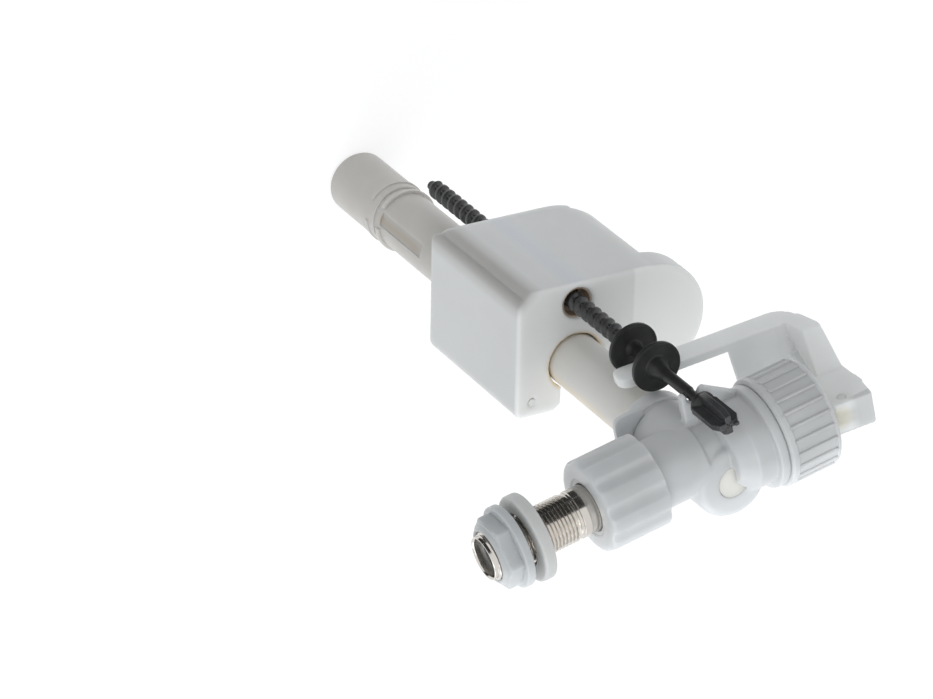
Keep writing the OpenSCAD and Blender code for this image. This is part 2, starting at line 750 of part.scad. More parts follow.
shank();
strainer();
wall_nut();
sealing_washer();
coupling_nut();
coupling_gasket();
flow_restrictor();
valve_body();
vent_cap();
servo_piston();
seat_washer();
lip_seal();
pilot_cover();
cover_seal();
head_ring();
lever();
lever_pin();
pilot_pad();
upper_tube();
tube_seal();
tube_clip();
lower_tube();
float_shell();
float_insert();
float_plug();
spindle();
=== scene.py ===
"""Looks of a side entry fill valve, built round its CAD model.

Lengths are in millimetres until a mesh is made, and in metres in the finishes' nodes and the
studio. The frame is the CAD's: +X into the cistern, +Y to the float's spindle, +Z up.
"""

import json
import math

import bmesh
import bpy
from mathutils import Matrix, Vector


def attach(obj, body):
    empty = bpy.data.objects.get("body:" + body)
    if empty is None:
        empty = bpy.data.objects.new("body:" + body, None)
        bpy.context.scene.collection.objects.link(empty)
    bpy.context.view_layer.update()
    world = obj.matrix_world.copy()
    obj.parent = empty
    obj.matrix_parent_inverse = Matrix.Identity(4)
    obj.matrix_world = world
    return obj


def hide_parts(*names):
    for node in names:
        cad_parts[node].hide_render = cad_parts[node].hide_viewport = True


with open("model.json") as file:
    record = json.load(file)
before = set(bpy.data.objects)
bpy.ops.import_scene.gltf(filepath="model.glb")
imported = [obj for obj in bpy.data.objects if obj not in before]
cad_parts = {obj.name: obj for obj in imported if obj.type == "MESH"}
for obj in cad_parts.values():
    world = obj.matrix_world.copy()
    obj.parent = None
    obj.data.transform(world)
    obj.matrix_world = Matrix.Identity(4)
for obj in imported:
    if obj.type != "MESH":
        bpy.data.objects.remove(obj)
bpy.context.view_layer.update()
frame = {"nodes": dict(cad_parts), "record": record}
scene = bpy.context.scene

MM = 0.001
TURN = 2 * math.pi

# Sizes shared with the CAD model
TUBE_X = 45.0
HEAD_Z = 5.5
SHANK_X = -34.0
SHANK_R = 8.33
SHANK_BORE_R = 6.6
NUT_X = -32.1
WASHER_X = -21.1
COUPLING_X = 5.0
COUPLING_R = 16.2
RING_X = 68.7
RING_L = 18.8
SPIGOT_R = 16.65
SPINDLE_X = 50.0007
SPINDLE_Y = 21.3213
SHAFT_R = 2.1
CORE_R = 2.0
DISC_R = 8.9
FLOAT_TURN = math.radians(-13.2)
FLOAT_TOP = 74.8
FLOAT_H = 62.0
FLOAT_LEFT = -22.8
FLOAT_RIGHT = 36.0
PIVOT = (95.4, 0.0, 13.5)
LEVER_DROOP = math.radians(8.8)


# Nodes

class Wire:
    """A node socket that takes part in sums; each sum adds its Math node."""

    def __init__(self, tree, socket):
        self.tree = tree
        self.socket = socket

    def combine(self, operation, *values):
        """A Math node on the values, in their order."""
        node = self.tree.nodes.new("ShaderNodeMath")
        node.operation = operation
        for slot, value in zip(node.inputs, values):
            plug(self.tree, value, slot)
        return Wire(self.tree, node.outputs[0])

    def math(self, operation, *others):
        """A Math node on this wire and the others."""
        return self.combine(operation, self, *others)

    def __add__(self, other):
        return self.math("ADD", other)

    def __sub__(self, other):
        return self.math("SUBTRACT", other)

    def __rsub__(self, other):
        return self.combine("SUBTRACT", other, self)

    def __mul__(self, other):
        return self.math("MULTIPLY", other)

    def __truediv__(self, other):
        return self.math("DIVIDE", other)

    __radd__ = __add__
    __rmul__ = __mul__

    def clamp(self):
        """This wire, kept between 0 and 1."""
        node = self.tree.nodes.new("ShaderNodeClamp")
        plug(self.tree, self, node.inputs["Value"])
        return Wire(self.tree, node.outputs[0])

    def above(self, edge, width):
        """0 below edge and 1 above edge + width, with a straight ramp between."""
        return ((self - edge) / width).clamp()

    def past(self, place, fade):
        """above() for a wire in metres, with the place and its fade in millimetres."""
        return self.above(place * MM, fade * MM)


def plug(tree, value, socket):
    """Links a wire into a socket, or sets the socket to a plain value."""
    if isinstance(value, Wire):
        tree.links.new(value.socket, socket)
    elif value is not None:
        socket.default_value = value


class Board:
    """A node tree with one method that adds any node."""

    def __init__(self, tree):
        self.tree = tree

    def add(self, kind, values=(), out=0, **settings):
        """Adds a node and returns its output out, or a list where out is a tuple."""
        node = self.tree.nodes.new(kind)
        for key, value in settings.items():
            setattr(node, key, value)
        for key, value in dict(values).items():
            plug(self.tree, value, node.inputs[key])
        if not len(node.outputs):
            return node
        if isinstance(out, tuple):
            return [Wire(self.tree, node.outputs[k]) for k in out]
        return Wire(self.tree, node.outputs[out])

    def blend(self, factor, first, second):
        """Mixes two colours."""
        return self.add("ShaderNodeMix", {0: factor, 6: first, 7: second}, out=2,
                        data_type="RGBA")

    def noise(self, where, scale, detail=3.0):
        """Noise with its scale per metre."""
        return self.add("ShaderNodeTexNoise",
                        {"Vector": where, "Scale": scale, "Detail": detail})


def colour(red, green, blue):
    """An opaque colour."""
    return (red, green, blue, 1.0)


# Finishes

def start_finish(name, **constants):
    """A new material, its board, its shader node and its Object coordinates."""
    material = bpy.data.materials.new(name)
    material.use_nodes = True
    tree = material.node_tree
    shader = next(n for n in tree.nodes if n.type == "BSDF_PRINCIPLED")
    for key, value in constants.items():
        shader.inputs[key.replace("_", " ").title().replace("Ior", "IOR")].default_value = value
    board = Board(tree)
    where = board.add("ShaderNodeTexCoord", out=3)
    return material, board, shader, where


def bump(board, shader, height, distance):
    """Raises a surface by its height times a distance in metres."""
    normal = board.add("ShaderNodeBump", {"Height": height, "Distance": distance})
    plug(board.tree, normal, shader.inputs["Normal"])


def moulded_plastic(name, light, dark, roughness, patches=70.0, depth=0.00002, paint=None,
                    **constants):
    """Plastic with slow patches of tone, uneven gloss and a fine moulding grain.

    patches is a noise scale per metre, and paint(board, where, tone) lays tones over it.
    """
    grain = 2600.0
    material, board, shader, where = start_finish(name, **constants)
    cloud = board.noise(where, patches)
    tone = board.blend(cloud.above(0.3, 0.4), colour(*dark), colour(*light))
    if paint:
        tone = paint(board, where, tone)
    plug(board.tree, tone, shader.inputs["Base Color"])
    gloss = board.noise(where, patches * 9, 2.0)
    plug(board.tree, gloss * 0.16 + (roughness - 0.08), shader.inputs["Roughness"])
    fine = board.noise(where, grain, 2.0)
    slow = board.noise(where, patches * 2.5, 1.0)
    bump(board, shader, fine * 0.4 + slow * 2.0, depth)
    return material


def split(board, where):
    """The three coordinates of a place as wires."""
    return board.add("ShaderNodeSeparateXYZ", {0: where}, out=(0, 1, 2))


def turned_frame(board, where, centre, angle):
    """Coordinates turned about a standing axis through a centre."""
    moved = board.add("ShaderNodeVectorMath", {0: where, 1: [c * MM for c in centre]},
                      operation="SUBTRACT")
    return board.add("ShaderNodeMapping", {"Vector": moved, "Rotation": (0.0, 0.0, -angle)})


def spot(board, where, centre, radius, fade):
    """1 within a radius of a place, falling to 0 over the fade."""
    away = board.add("ShaderNodeVectorMath", {0: where, 1: [c * MM for c in centre]},
                     out=1, operation="DISTANCE")
    return 1.0 - away.past(radius, fade)


def float_tones(board, where, tone):
    """Painted shade along the float's edge between its spindle side and left end, painted light
    on its top and a painted amber glow round its notch; the inner rib shows through its skin as
    a soft band.
    """
    local = turned_frame(board, where, (TUBE_X, 0.0, 0.0), FLOAT_TURN)
    x, y, z = split(board, local)
    rib = y.past(27.5, 1.0) * x.past(-5.5, 3.0) * (1.0 - x.past(0.0, 5.0))
    tone = board.blend(rib * 0.45, tone, colour(0.62, 0.66, 0.73))
    # Painted shade: a dark brownish band along the edge between the spindle side and the left
    # end
    corner = (y - x).past(42.5, 5.5)
    tone = board.blend(corner * 0.85, tone, colour(0.43, 0.415, 0.40))
    # Painted shade: a darker line right at that edge
    shaded_edge_line = (1.0 - x.past(-22.2, 3.0)) * y.past(23.5, 3.0)
    tone = board.blend(shaded_edge_line * 0.55, tone, colour(0.36, 0.35, 0.34))
    # Painted light: the top face is made lighter than the sides
    top = z.past(-FLOAT_TOP - 1.7, 1.0)
    tone = board.blend(top * (1.0 - corner), tone, colour(0.81, 0.82, 0.81))
    # Painted light: a near-white patch on the top's bulge towards the right end
    lit_bulge = top * x.past(21.3, 1.2)
    tone = board.blend(lit_bulge * 0.85, tone, colour(0.97, 0.985, 0.96))
    # Painted light: the top is lighter still on its notched side
    notched_side = top * (1.0 - y.past(-12.0, 16.0))
    tone = board.blend(notched_side * 0.6, tone, colour(0.91, 0.92, 0.90))
    from_tube = (x * x + y * y).math("SQRT")
    # Painted glow: amber round the top of the notch, close to the tube
    notch_lip = (1.0 - from_tube.past(10.6, 0.8)) * z.past(-FLOAT_TOP - 9.2, 6.0)
    return board.blend(notch_lip * 0.9, tone, colour(0.88, 0.71, 0.48))


def tube_tones(board, where, tone):
    """Painted light on the upper tube, amber where light runs along the tube's wall, and the
    lower tube's dark strip.
    """
    x, y, z = split(board, where)
    # Painted light: the tube grows lighter towards its top
    upper = z.past(-125.0, 45.0)
    tone = board.blend(upper, tone, colour(0.77, 0.755, 0.715))
    by_float = z.past(-100.0, 30.0) * (1.0 - z.past(-45.0, 20.0))
    wall = (1.0 - x.past(36.2, 3.0)) * (1.0 - y.past(-1.0, 3.0))
    tone = board.blend(by_float * wall * 0.6, tone, colour(0.80, 0.66, 0.46))
    strip = (1.0 - x.past(36.2, 1.2)) * y.past(3.0, 1.0) \
        * (1.0 - z.past(-170.0, 4.0)) * z.past(-197.0, 1.0)
    return board.blend(strip * 0.7, tone, colour(0.50, 0.43, 0.34))


def body_tones(board, where, tone):
    """Painted light: the body is lighter towards its -Y side, and the head ring lighter still on
    that side.
    """
    x, y, _ = split(board, where)
    # Painted light on the body's -Y side
    lit_low_side = 1.0 - y.past(-15.0, 16.0)
    tone = board.blend(lit_low_side * 0.85, tone, colour(0.80, 0.82, 0.835))
    # Painted light on the head ring's -Y side
    lit_low_ring = (1.0 - y.past(-17.0, 14.0)) * x.past(RING_X - 1.2, 2.0)
    return board.blend(lit_low_ring * 0.8, tone, colour(0.92, 0.94, 0.945))


def lever_tones(board, where, tone):
    """Painted shade on the side and top of the lever's block, and a painted cream glow where the
    nozzle shines through its corner.
    """
    x, y, z = split(board, where)
    # Painted shade on the block's -Y face
    shaded_block_side = (1.0 - y.past(-5.6, 0.8)) * x.past(86.0, 2.0)
    tone = board.blend(shaded_block_side, tone, colour(0.58, 0.59, 0.59))
    # Painted shade on the block's top
    shaded_block_top = z.past(15.5, 1.0) * x.past(95.5, 3.0)
    tone = board.blend(shaded_block_top * 0.9, tone, colour(0.60, 0.61, 0.61))
    # Painted glow: a cream spot where the nozzle shows through
    nozzle = spot(board, where, (92.0, 0.5, 17.6), 2.4, 2.6)
    return board.blend(nozzle * 0.75, tone, colour(0.84, 0.80, 0.62))


def nickel_plate():
    """Bright plating with fine turning marks round the shank."""
    material, board, shader, where = start_finish("bright_nickel", metallic=1.0)
    cloud = board.noise(where, 160.0)
    tone = board.blend(cloud, colour(0.58, 0.55, 0.51), colour(0.72, 0.69, 0.65))
    plug(board.tree, tone, shader.inputs["Base Color"])
    drawn_out = board.add("ShaderNodeMapping", {"Vector": where, "Scale": (14.0, 0.6, 0.6)})
    marks = board.noise(drawn_out, 420.0, 2.0)
    plug(board.tree, marks * 0.16 + 0.10, shader.inputs["Roughness"])
    bump(board, shader, marks, 0.000006)
    return material


def strainer_weave():
    """Dark plastic with the fine square openings of a strainer."""
    material, board, shader, where = start_finish("strainer_weave", specular_ior_level=0.4)
    opening = 0.22 * MM
    _, y, z = split(board, where)
    rows = y.math("PINGPONG", opening) / opening
    columns = z.math("PINGPONG", opening) / opening
    holes = rows.above(0.35, 0.3) * columns.above(0.35, 0.3)
    # Painted shade: the openings are dark for the shade inside them
    tone = board.blend(holes, colour(0.27, 0.275, 0.265), colour(0.07, 0.071, 0.068))
    plug(board.tree, tone, shader.inputs["Base Color"])
    plug(board.tree, board.noise(where, 900.0) * 0.2 + 0.35, shader.inputs["Roughness"])
    bump(board, shader, 1.0 - holes, 0.00008)
    return material


def seal_rubber():
    """Dull black rubber with a dry grain."""
    material, board, shader, where = start_finish("black_seal_rubber", specular_ior_level=0.35)
    cloud = board.noise(where, 240.0)
    tone = board.blend(cloud, colour(0.03, 0.03, 0.03), colour(0.045, 0.045, 0.045))
    plug(board.tree, tone, shader.inputs["Base Color"])
    plug(board.tree, cloud * 0.15 + 0.6, shader.inputs["Roughness"])
    bump(board, shader, board.noise(where, 3200.0, 2.0), 0.00004)
    return material


# Light scattered under the skin of the milky plastics
MILKY = {"subsurface_weight": 0.5, "subsurface_radius": (1.0, 1.0, 1.05),
         "subsurface_scale": 0.005, "coat_weight": 0.12, "coat_roughness": 0.22}

FINISHES = {
    "nickel": nickel_plate(),
    "grey_plastic": strainer_weave(),
    "white_plastic": moulded_plastic(
        "white_nut_plastic", (0.52, 0.54, 0.545), (0.48, 0.50, 0.505), 0.36,
        paint=body_tones, **MILKY),
    "white_rubber": moulded_plastic(
        "white_washer_rubber", (0.61, 0.615, 0.605), (0.575, 0.58, 0.57), 0.5,
        depth=0.00004, **MILKY),
    "clear_white": moulded_plastic(
        "milky_body_plastic", (0.60, 0.612, 0.615), (0.55, 0.56, 0.563), 0.33,
        paint=body_tones, **MILKY),
    "cream_plastic": moulded_plastic(
        "cream_plastic", (0.90, 0.895, 0.84), (0.87, 0.86, 0.80), 0.36, **MILKY),
    # Painted light: a lighter base than the body's plastic, for the light that comes through the
    # thin lever
    "lever_plastic": moulded_plastic(
        "milky_lever_plastic", (0.84, 0.85, 0.84), (0.80, 0.81, 0.80), 0.38,
        paint=lever_tones, **MILKY),
    "tube_plastic": moulded_plastic(
        "warm_tube_plastic", (0.58, 0.56, 0.53), (0.545, 0.525, 0.49), 0.36,
        paint=tube_tones, **MILKY),
    "float_plastic": moulded_plastic(
        "satin_float_plastic", (0.72, 0.735, 0.735), (0.69, 0.70, 0.695), 0.40, patches=38.0,
        paint=float_tones, **MILKY),
    "brown_plastic": moulded_plastic(
        "brown_insert_plastic", (0.46, 0.36, 0.26), (0.30, 0.22, 0.16), 0.45, patches=260.0),
    "black_plastic": moulded_plastic(
        "black_spindle_plastic", (0.027, 0.028, 0.027), (0.017, 0.018, 0.0175), 0.42,
        patches=190.0, depth=0.00003, specular_ior_level=0.38),
    # The same black plastic as black_plastic, glossier, with a lighter base as painted light on
    # the thread and fins
    "black_thread": moulded_plastic(
        "lit_spindle_thread_plastic", (0.050, 0.051, 0.052), (0.034, 0.035, 0.036), 0.30,
        patches=190.0, depth=0.00003),
    "black_rubber": seal_rubber(),
}


# Meshes

def add_object(name, data):
    """A new object in the scene."""
    made = bpy.data.objects.new(name, data)
    scene.collection.objects.link(made)
    return made


def along_x(x, z=0.0):
    """Stands a turned piece on the line of the inlet or of the head."""
    return Matrix.Translation((x, 0.0, z)) @ Matrix.Rotation(math.radians(90), 4, "Y")


def upright(x, y=0.0, z=0.0):
    """Stands a turned piece on a vertical line."""
    return Matrix.Translation((x, y, z))


def smaller(first, second, sharp):
    """The smaller of two radii, eased where they cross."""
    return (first ** -sharp + second ** -sharp) ** (-1 / sharp)


def eased(points, closed=True, steps=4):
    """Rounds the corners of an outline of (radius, height, rounding).

    A rounding takes up no more than a share of each edge beside it.
    """
    share = 0.48
    made = []
    count = len(points)
    for i, (r, h, rounding) in enumerate(points):
        here = Vector((r, h))
        if rounding <= 0 or (not closed and i in (0, count - 1)):
            made.append(here)
            continue
        before = Vector(points[i - 1][:2]) - here
        after = Vector(points[(i + 1) % count][:2]) - here
        half = before.angle(after) / 2
        reach = min(rounding / math.tan(half), before.length * share, after.length * share)
        start = here + before.normalized() * reach
        end = here + after.normalized() * reach
        for k in range(steps + 1):
            t = k / steps
            made.append(start * (1 - t) ** 2 + here * 2 * t * (1 - t) + end * t ** 2)
    return made


def turned(outline, steps, closed=True, shape=None):
    """Points and faces of an outline turned about Z; shape(r, h, angle) may change r."""
    on_axis = 1e-6
    points, rings, faces = [], [], []
    for p in outline:
        ring = []
        count = 1 if p.x < on_axis else steps
        for k in range(count):
            angle = TURN * k / steps
            r = shape(p.x, p.y, angle) if shape and count > 1 else p.x
            ring.append(len(points))
            points.append(Vector((r * math.cos(angle), r * math.sin(angle), p.y)))
        rings.append(ring)
    pairs = list(zip(rings, rings[1:]))
    if closed:
        pairs.append((rings[-1], rings[0]))
    for low, high in pairs:
        for k in range(steps):
            loop = [low[k % len(low)], low[(k + 1) % len(low)],
                    high[(k + 1) % len(high)], high[k % len(high)]]
            face = list(dict.fromkeys(loop))
            if len(face) > 2:
                faces.append(face)
    return points, faces


def tidy(mesh):
    """Merges doubles, points the faces outwards and keeps only real edges sharp."""
    least_angle, same_place = 38.0, 1e-7
    work = bmesh.new()
    work.from_mesh(mesh)
    bmesh.ops.remove_doubles(work, verts=work.verts, dist=same_place)
    bmesh.ops.recalc_face_normals(work, faces=work.faces)
    work.to_mesh(mesh)
    work.free()
    mesh.shade_smooth()
    mesh.set_sharp_from_angle(angle=math.radians(least_angle))


def settle(piece, body, slot, nodes=(), finish=None):
    """Gives a finished piece its material, picked by its slot unless a finish is given, puts it
    on its body and hides the nodes it stands for.
    """
    piece.data.materials.clear()
    piece.data.materials.append(finish or FINISHES[slot])
    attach(piece, body)
    if nodes:
        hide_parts(*nodes)


def new_piece(name, parts, place):
    """One object from (points, faces) parts in millimetres, put in place in its mesh."""
    points, faces = [], []
    for part_points, part_faces in parts:
        start = len(points)
        points += [place @ p for p in part_points]
        faces += [[i + start for i in f] for f in part_faces]
    mesh = bpy.data.meshes.new(name)
    mesh.from_pydata([p * MM for p in points], [], faces)
    tidy(mesh)
    return add_object(name, mesh)


def baked(piece, name):
    """The evaluated piece as a plain mesh object, in place of the piece."""
    view = bpy.context.evaluated_depsgraph_get()
    mesh = bpy.data.meshes.new_from_object(piece.evaluated_get(view))
    bpy.data.objects.remove(piece)
    mesh.name = name
    return add_object(name, mesh)


# Planes of a corner: seen from above and from the side
PLAN, SIDE = (0, 1), (0, 2)


def round_corner(mesh, place, plane, corner, outward, radius):
    """Draws a square corner in, to a round of the given radius, seen square to a plane."""
    slack = 0.2
    back = place.inverted()
    i, j = plane
    for vertex in mesh.vertices:
        p = back @ (vertex.co / MM)
        u = (p[i] - corner[0]) * outward[0] + radius
        w = (p[j] - corner[1]) * outward[1] + radius
        if 0 < u <= radius + slack and 0 < w <= radius + slack:
            ease = max(u, w) / math.hypot(u, w)
            p[i] += (ease - 1) * u * outward[0]
            p[j] += (ease - 1) * w * outward[1]
            vertex.co = (place @ p) * MM


def moulded_copy(node, name, voxel, passes, place=None, corners=()):
    """A copy of a CAD node with the soft edges that a mould leaves.

    Each corner is (plane, corner, outward, radius) in the frame of place. More passes make
    the edges softer.
    """
    mesh = frame["nodes"][node].data.copy()
    piece = add_object(name + "_blank", mesh)
    tidy(mesh)
    remesh = piece.modifiers.new("skin", "REMESH")
    remesh.mode = "VOXEL"
    remesh.voxel_size = voxel * MM
    remesh.use_smooth_shade = True
    if corners:
        piece = baked(piece, name + "_skin")
        for plane, corner, outward, radius in corners:
            round_corner(piece.data, place, plane, corner, outward, radius)
    ease = piece.modifiers.new("ease", "SMOOTH")
    ease.factor = 0.5
    ease.iterations = passes
    return baked(piece, name)


# Geometry Nodes

def node_kit(name, inputs):
    """A geometry tree with named inputs; returns its board and its input wires."""
    tree = bpy.data.node_groups.new(name, "GeometryNodeTree")
    tree.interface.new_socket("Geometry", in_out="INPUT", socket_type="NodeSocketGeometry")
    tree.interface.new_socket("Geometry", in_out="OUTPUT", socket_type="NodeSocketGeometry")
    for label, kind in inputs:
        tree.interface.new_socket(label, in_out="INPUT", socket_type="NodeSocket" + kind)
    source = tree.nodes.new("NodeGroupInput")
    wires = {out.name: Wire(tree, out) for out in source.outputs if out.name}
    return Board(tree), wires


def close_kit(board, geometry, material):
    """Ends a tree in Realize Instances and Set Material."""
    real = board.add("GeometryNodeRealizeInstances", {"Geometry": geometry})
    dressed = board.add("GeometryNodeSetMaterial", {"Geometry": real, "Material": material})
    board.add("NodeGroupOutput", {0: dressed})
    return board.tree


def run_kit(name, tree, values, place):
    """Runs a tree with its named inputs and returns the plain mesh, put in place."""
    holder = add_object(name + "_seed", bpy.data.meshes.new(name + "_seed"))
    run = holder.modifiers.new("kit", "NODES")
    run.node_group = tree
    for item in tree.interface.items_tree:
        if item.item_type == "SOCKET" and item.in_out == "INPUT" and item.name in values:
            run[item.identifier] = values[item.name]
    bpy.context.view_layer.update()
    piece = baked(holder, name)
    piece.data.transform(Matrix.Scale(MM, 4) @ place)
    tidy(piece.data)
    return piece


def thread_kit():
    """A sleeve whose outer radius follows a helix, closed through its own bore."""
    board, given = node_kit("helical_thread", [
        ("Bore Radius", "Float"), ("Core Radius", "Float"), ("Crest Radius", "Float"),
        ("Pitch", "Float"), ("Length", "Float"), ("Steepness", "Float"), ("Run Out", "Float"),
        ("Web Height", "Float"), ("Web Angle", "Float"), ("Rows", "Int"),
        ("Columns", "Int"), ("Finish", "Material")])
    grid = board.add("GeometryNodeMeshGrid", {
        "Size X": 1.0, "Size Y": 1.0, "Vertices X": given["Rows"],
        "Vertices Y": given["Columns"]})
    here = board.add("GeometryNodeInputPosition")
    gx, gy, _ = split(board, here)
    # The first row lies on the bore, and the last two go back along it
    row = (gx + 0.5) * (given["Rows"] - 1.0)
    height = (row - 1.0) / (given["Rows"] - 4.0)
    height = height.clamp() * row.math("LESS_THAN", given["Rows"] - 1.5)
    height = height * given["Length"]
    outside = row.math("GREATER_THAN", 0.5) * row.math("LESS_THAN", given["Rows"] - 2.5)
    angle = (gy + 0.5) * TURN
    wave = (angle - height / given["Pitch"] * TURN).math("COSINE")
    ridge = (wave * given["Steepness"] + 0.5).clamp()
    fade = height.above(0.0, given["Run Out"]) \
        * (given["Length"] - height).above(0.0, given["Run Out"])
    # Two moulding lines, half a turn apart and about 10 degrees wide
    line_edge, line_fade = 0.984, 0.012
    off = ((angle - given["Web Angle"]) * 2.0).math("COSINE")
    web = off.above(line_edge, line_fade) * given["Web Height"]
    rise = (ridge * fade).math("MAXIMUM", web * fade)
    radius = given["Core Radius"] + (given["Crest Radius"] - given["Core Radius"]) * rise
    radius = given["Bore Radius"] + (radius - given["Bore Radius"]) * outside
    turned_place = board.add("ShaderNodeCombineXYZ", {
        0: radius * angle.math("COSINE"), 1: radius * angle.math("SINE"), 2: height})
    shaped = board.add("GeometryNodeSetPosition", {"Geometry": grid, "Position": turned_place})
    joined = board.add("GeometryNodeMergeByDistance", {"Geometry": shaped, "Distance": 0.0002})
    return close_kit(board, joined, given["Finish"])


def ribs_kit():
    """Equal ribs round an axis, each a rounded bar lying along it."""
    board, given = node_kit("ribs_round_an_axis", [
        ("Count", "Int"), ("Radius", "Float"), ("Rib Width", "Float"),
        ("Rib Height", "Float"), ("Rib Length", "Float"), ("Lift", "Float"),
        ("Finish", "Material")])
    circle = board.add("GeometryNodeMeshCircle", {
        "Vertices": given["Count"], "Radius": given["Radius"]})
    spine = board.add("GeometryNodeCurvePrimitiveLine", {
        "End": board.add("ShaderNodeCombineXYZ", {2: given["Rib Length"]})})
    section = board.add("GeometryNodeCurvePrimitiveCircle", {"Resolution": 10, "Radius": 1.0})
    rounded = board.add("GeometryNodeTransform", {
        "Geometry": section,
        "Scale": board.add("ShaderNodeCombineXYZ", {
            0: given["Rib Height"], 1: given["Rib Width"] * 0.5, 2: 1.0})})
    bar = board.add("GeometryNodeCurveToMesh", {
        "Curve": spine, "Profile Curve": rounded, "Fill Caps": True})
    raised = board.add("GeometryNodeTransform", {
        "Geometry": bar,
        "Translation": board.add("ShaderNodeCombineXYZ", {2: given["Lift"]})})
    here = board.add("GeometryNodeInputPosition")
    px, py, _ = split(board, here)
    heading = board.add("ShaderNodeCombineXYZ", {2: py.math("ARCTAN2", px)})
    placed = board.add("GeometryNodeInstanceOnPoints", {
        "Points": circle, "Instance": raised, "Rotation": heading})
    return close_kit(board, placed, given["Finish"])


THREAD = thread_kit()
RIBS = ribs_kit()


# The inlet

def build_shank():
    """Plated shank with its bore, its thread and the shoulder in the coupling nut."""
    thread_start, thread_end = 1.0, 32.4
    core_r, groove_r, smooth_r, shoulder_r = 7.5, 7.9, 8.2, 11.5
    shoulder, shank_end = 43.5, 46.5
    bar = eased([
        (SHANK_BORE_R, shank_end - 0.05, 0.1), (SHANK_BORE_R, 0.55, 0.25), (7.05, 0.0, 0.12),
        (7.45, 0.0, 0.15), (core_r, 0.25, 0.1), (core_r, thread_end, 0.1),
        (groove_r, thread_end + 0.3, 0.1), (groove_r, 33.4, 0.1), (SHANK_R, 33.6, 0.15),
        (SHANK_R, 36.2, 0.12), (smooth_r, 36.4, 0.1), (smooth_r, shoulder, 0.1),
        (shoulder_r, shoulder, 0.25), (shoulder_r, shank_end, 0.25)], steps=3)
    piece = new_piece("plated_shank", [turned(bar, 128)], along_x(SHANK_X))
    settle(piece, "valve", "nickel", ["shank"])
    thread = run_kit("shank_thread", THREAD, {
        "Bore Radius": 7.0, "Core Radius": 7.45, "Crest Radius": SHANK_R, "Pitch": 1.337,
        "Length": thread_end - thread_start, "Steepness": 0.62, "Run Out": 0.9,
        "Web Height": 0.0, "Web Angle": 0.0, "Rows": 430, "Columns": 97,
        "Finish": FINISHES["nickel"]}, along_x(SHANK_X + thread_start))
    settle(thread, "valve", "nickel")


def build_wall_nut():
    """Hexagon nut with a round collar in front and a flange behind."""
    bore_r, corner_r, flange_r = 8.41, 12.65, 14.2
    flat_r = 11.0
    flange_z, nut_l = 6.4, 9.4
    collar_r = 10.7
    sharp = 90

    def hexagon(r, h, angle):
        if r < collar_r or h > flange_z - 0.05:
            return r
        side = angle % math.radians(60) - math.radians(30)
        return smaller(r, flat_r / math.cos(side), sharp)

    outline = eased([
        (bore_r, 0.3, 0.1), (8.75, 0.0, 0.2), (9.4, 0.0, 0.35), (10.45, 1.15, 0.25),
        (10.9, 1.25, 0.1), (corner_r, 2.0, 0.35), (corner_r, flange_z, 0.15),
        (flange_r, flange_z, 0.7), (flange_r, nut_l, 0.6), (bore_r, nut_l, 0.3)], steps=5)
    piece = new_piece("wall_nut_body", [turned(outline, 240, shape=hexagon)], along_x(NUT_X))
    settle(piece, "nut", "white_plastic", ["wall_nut"])


def build_sealing_washer():
    """Thick washer with a rounded rim."""
    bore_r, washer_r = 9.23, 15.0
    front, back = 1.6, 6.0
    outline = eased([(bore_r, front, 0.3), (washer_r, front, 1.2), (washer_r, back, 1.0),
                     (bore_r, back, 0.4)], steps=6)
    piece = new_piece("sealing_washer_ring", [turned(outline, 160)], along_x(WASHER_X))
    settle(piece, "washer", "white_rubber", ["sealing_washer"])


def build_coupling_nut():
    """Nut with scalloped grip lobes and a rounded nose."""
    lobes, depth, scallop = 10, 0.9, 4.0
    bore_r, socket_r = 8.6, 12.06
    wall, nut_l = 4.5, 22.5
    nose_r = 13.0
    centre = COUPLING_R + scallop - depth
    sharp = 60

    def lobed(r, h, angle):
        if r < nose_r:
            return r
        half = TURN / lobes / 2
        side = half - abs((angle + half) % (2 * half) - half)
        inside = scallop ** 2 - (centre * math.sin(side)) ** 2
        cut = centre * math.cos(side) - math.sqrt(inside) if inside > 0 else COUPLING_R + 3
        return smaller(r, cut, sharp)

    outline = eased([
        (bore_r, 0.55, 0.1), (9.8, 0.5, 0.5), (10.3, 0.0, 0.6), (COUPLING_R, 0.0, 3.6),
        (COUPLING_R, nut_l, 0.4), (socket_r, nut_l, 0.2), (socket_r, wall, 0.2),
        (bore_r, wall, 0.2)], steps=8)
    piece = new_piece("coupling_nut_body", [turned(outline, 320, shape=lobed)],
                      along_x(COUPLING_X))
    settle(piece, "valve", "clear_white", ["coupling_nut"])


# The head

